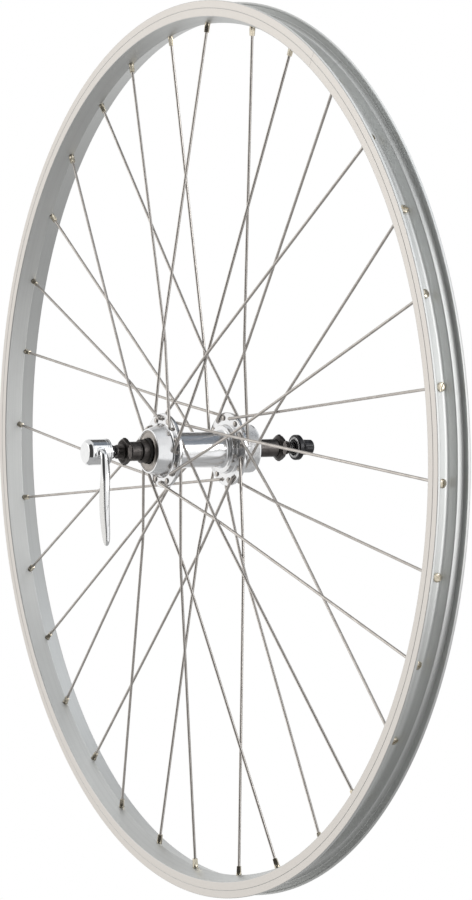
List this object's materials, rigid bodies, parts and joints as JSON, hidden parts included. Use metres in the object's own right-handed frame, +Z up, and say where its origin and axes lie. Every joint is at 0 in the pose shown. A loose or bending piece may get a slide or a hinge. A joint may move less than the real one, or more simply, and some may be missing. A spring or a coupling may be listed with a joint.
{
  "type": "bicycle rear wheel",
  "caption": "Spoked bicycle rear wheel without a tyre: alloy rim, crossed wire spokes, threaded hub on a hollow axle and a quick release skewer.",
  "frame": {"origin": "the wheel's centre: on the axle, in the middle plane of the rim", "axes": "+Y along the axle towards the sprocket side, +Z up, +X to the front edge with the lever hanging down"},
  "size_m": [0.6339, 0.1849, 0.634],
  "materials": {
    "rim_alloy": "satin anodised, finely brushed around the rim",
    "spoke_stainless": "drawn stainless wire, satin",
    "nipple_nickel": "nickel plated brass",
    "polished_alloy": "polished",
    "race_steel": "ground steel",
    "cap_steel": "satin pressed steel",
    "ball_steel": "polished",
    "dark_steel": "black oxide, satin",
    "seal_rubber": "matt",
    "lever_chrome": "chrome plated, polished",
    "clamp_steel": "bright plated",
    "spring_steel": "oiled spring wire",
    "nut_black": "satin black"
  },
  "bodies": {
    "axle_set": {"axle": "dark_steel", "left_cone": "dark_steel", "right_cone": "dark_steel", "left_lock_washer": "dark_steel", "right_lock_washer": "dark_steel", "left_spacer": "dark_steel", "right_spacer": "dark_steel", "left_locknut": "dark_steel", "right_locknut": "dark_steel", "cone_seals": "seal_rubber"},
    "wheel": {"rim": "rim_alloy", "nipples_left": "nipple_nickel", "nipples_right": "nipple_nickel", "spoke_01": "spoke_stainless", "spoke_02": "spoke_stainless", "spoke_03": "spoke_stainless", "spoke_04": "spoke_stainless", "spoke_05": "spoke_stainless", "spoke_06": "spoke_stainless", "spoke_07": "spoke_stainless", "spoke_08": "spoke_stainless", "spoke_09": "spoke_stainless", "spoke_10": "spoke_stainless", "spoke_11": "spoke_stainless", "spoke_12": "spoke_stainless", "spoke_13": "spoke_stainless", "spoke_14": "spoke_stainless", "spoke_15": "spoke_stainless", "spoke_16": "spoke_stainless", "spoke_17": "spoke_stainless", "spoke_18": "spoke_stainless", "spoke_19": "spoke_stainless", "spoke_20": "spoke_stainless", "spoke_21": "spoke_stainless", "spoke_22": "spoke_stainless", "spoke_23": "spoke_stainless", "spoke_24": "spoke_stainless", "spoke_25": "spoke_stainless", "spoke_26": "spoke_stainless", "spoke_27": "spoke_stainless", "spoke_28": "spoke_stainless", "spoke_29": "spoke_stainless", "spoke_30": "spoke_stainless", "spoke_31": "spoke_stainless", "spoke_32": "spoke_stainless", "hub_shell": "polished_alloy", "left_cup": "race_steel", "right_cup": "race_steel", "left_dust_cap": "cap_steel", "right_dust_cap": "cap_steel"},
    "left_ball_set": {"left_balls": "ball_steel"},
    "right_ball_set": {"right_balls": "ball_steel"},
    "skewer_head": {"lever_housing": "lever_chrome", "lever_clamp_ring": "clamp_steel", "left_spring": "spring_steel"},
    "lever_arm": {"lever": "lever_chrome"},
    "rod": {"skewer_rod": "race_steel"},
    "nut_slider": {"right_spring": "spring_steel"},
    "nut": {"adjusting_nut": "nut_black", "nut_clamp_ring": "clamp_steel"}
  },
  "joints": [
    {"name": "wheel_spin", "type": "hinge", "parent": "axle_set", "child": "wheel", "pos_m": [0, 0, 0], "axis": [0, 1, 0], "continuous": true},
    {"name": "left_balls_orbit", "type": "hinge", "parent": "axle_set", "child": "left_ball_set", "pos_m": [0, 0, 0], "axis": [0, 1, 0], "continuous": true},
    {"name": "right_balls_orbit", "type": "hinge", "parent": "axle_set", "child": "right_ball_set", "pos_m": [0, 0, 0], "axis": [0, 1, 0], "continuous": true},
    {"name": "skewer_turn", "type": "hinge", "parent": "axle_set", "child": "skewer_head", "pos_m": [0, -0.086, 0], "axis": [0, 1, 0], "continuous": true},
    {"name": "lever_swing", "type": "hinge", "parent": "skewer_head", "child": "lever_arm", "pos_m": [0, -0.086, 0], "axis": [-1, 0, 0], "range_deg": [0, 180]},
    {"name": "rod_pull", "type": "slide", "parent": "skewer_head", "child": "rod", "axis": [0, 1, 0], "range_m": [0, 0.0012]},
    {"name": "nut_travel", "type": "slide", "parent": "rod", "child": "nut_slider", "axis": [0, 1, 0], "range_m": [-0.0032, 0.004], "deforming": ["right_spring"]},
    {"name": "nut_turn", "type": "hinge", "parent": "nut_slider", "child": "nut", "pos_m": [0, 0.08, 0], "axis": [0, 1, 0], "range_deg": [-1440, 1800]}
  ],
  "couplings": [
    {"joint": "left_balls_orbit", "follows": "wheel_spin", "ratio": 0.61},
    {"joint": "right_balls_orbit", "follows": "wheel_spin", "ratio": 0.61},
    {"joint": "rod_pull", "follows": "lever_swing", "m_per_rad": 0.00038197},
    {"joint": "nut_travel", "follows": "nut_turn", "m_per_rad": 0.00012732}
  ]
}
